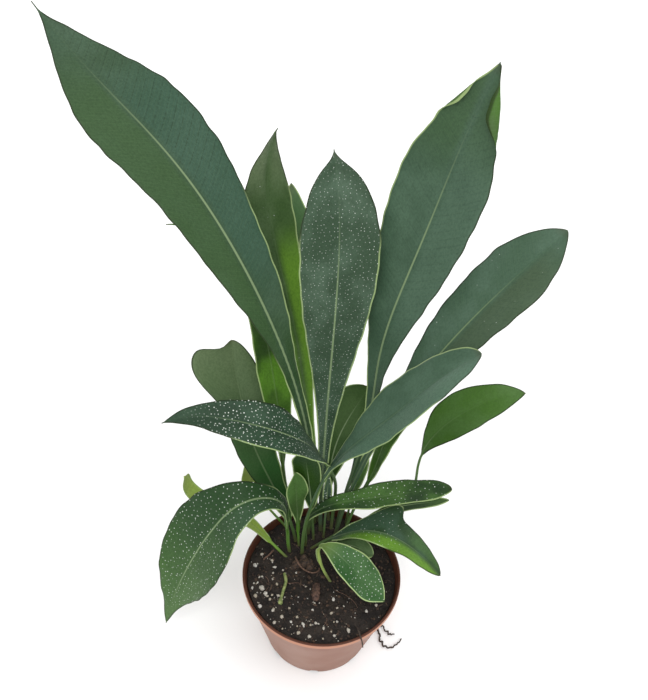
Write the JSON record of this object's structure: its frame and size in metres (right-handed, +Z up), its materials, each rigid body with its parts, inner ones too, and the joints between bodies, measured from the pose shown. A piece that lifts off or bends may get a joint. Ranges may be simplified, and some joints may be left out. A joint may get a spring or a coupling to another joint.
{
  "type": "potted fern",
  "caption": "Potted fern whose strap-shaped, pale-edged fronds rise and arch from a knobbly crown in a tapered round nursery pot filled with dark soil.",
  "frame": {"origin": "centre of the pot's flat underside", "axes": "+Z up, -Y towards the viewer of the picture, +X to the viewer's right"},
  "size_m": [0.3471, 0.228, 0.4389],
  "materials": {
    "pot": "satin moulded plastic",
    "soil": "rough damp mix",
    "rhizome": "matt fibrous skin",
    "old_stalk": "satin",
    "stump": "matt",
    "dry_root": "matt",
    "dark_root": "matt",
    "leaf_dark": "waxy satin",
    "leaf_blue": "waxy satin",
    "leaf_green": "waxy satin",
    "leaf_yellow": "waxy satin",
    "leaf_olive": "waxy satin"
  },
  "bodies": {
    "root": {"pot": "pot", "soil": "soil", "rhizome": "rhizome", "old_stalk": "old_stalk", "brown_stump": "stump", "dry_root": "dry_root", "thin_root": "dry_root", "rim_root": "dark_root", "outside_root_long": "dark_root", "outside_root_short": "dark_root", "frond_long_left": "leaf_blue", "frond_upright_narrow": "leaf_green", "frond_behind_centre": "leaf_olive", "frond_centre_dotted": "leaf_blue", "frond_large_right": "leaf_dark", "frond_right_dark": "leaf_dark", "frond_right_glossy": "leaf_dark", "frond_right_bright": "leaf_green", "frond_low_right": "leaf_dark", "frond_low_right_under": "leaf_olive", "frond_forked_right": "leaf_green", "frond_front_small": "leaf_green", "frond_front_behind": "leaf_olive", "frond_low_left": "leaf_dark", "frond_mid_left": "leaf_dark", "frond_forked_left": "leaf_dark", "frond_back_left": "leaf_green", "frond_back_centre": "leaf_green", "frond_back_right": "leaf_dark", "frond_yellow_small": "leaf_yellow", "frond_light_small": "leaf_olive", "frond_narrow_left": "leaf_yellow", "frond_olive_small": "leaf_olive", "frond_folded_small": "leaf_dark", "frond_inner_dark": "leaf_dark"}
  },
  "joints": []
}
